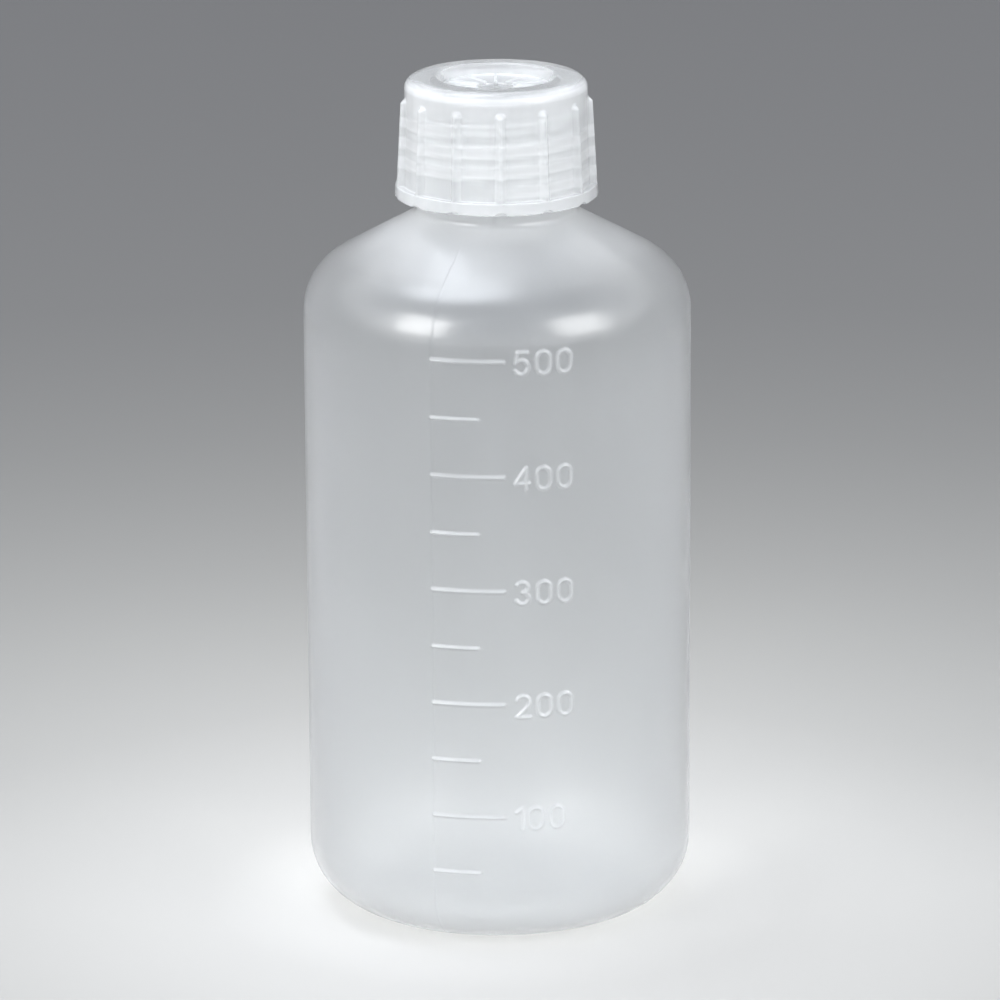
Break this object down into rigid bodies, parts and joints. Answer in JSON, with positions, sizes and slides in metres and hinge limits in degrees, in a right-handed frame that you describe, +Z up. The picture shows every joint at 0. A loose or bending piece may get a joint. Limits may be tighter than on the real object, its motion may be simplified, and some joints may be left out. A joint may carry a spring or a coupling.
{
  "type": "reagent bottle",
  "caption": "Translucent plastic laboratory bottle with a round shoulder, raised volume marks, a ribbed screw cap and a sealing plug under the cap.",
  "frame": {"origin": "centre of the flat ring that the bottle stands on", "axes": "+Z up along the bottle's axis, the graduation scale faces -Y"},
  "size_m": [0.0764, 0.0767, 0.1684],
  "materials": {
    "bottle_plastic": "milky translucent natural polypropylene, blow-moulded, satin, with fine scuffs",
    "plug_plastic": "milky natural polyethylene, smooth",
    "cap_plastic": "milky natural polypropylene, injection-moulded, semi-gloss"
  },
  "bodies": {
    "bottle": {"bottle_body": "bottle_plastic"},
    "plug": {"sealing_plug": "plug_plastic"},
    "cap": {"screw_cap": "cap_plastic"}
  },
  "joints": [
    {"name": "cap_lift", "type": "slide", "parent": "bottle", "child": "plug", "axis": [0, 0, 1], "range_m": [0, 0.028]},
    {"name": "cap_turn", "type": "hinge", "parent": "plug", "child": "cap", "pos_m": [0, 0, 0.1566], "axis": [0, 0, 1], "range_deg": [0, 2520]}
  ],
  "couplings": [
    {"joint": "cap_lift", "follows": "cap_turn", "m_per_rad": 0.0006366}
  ]
}
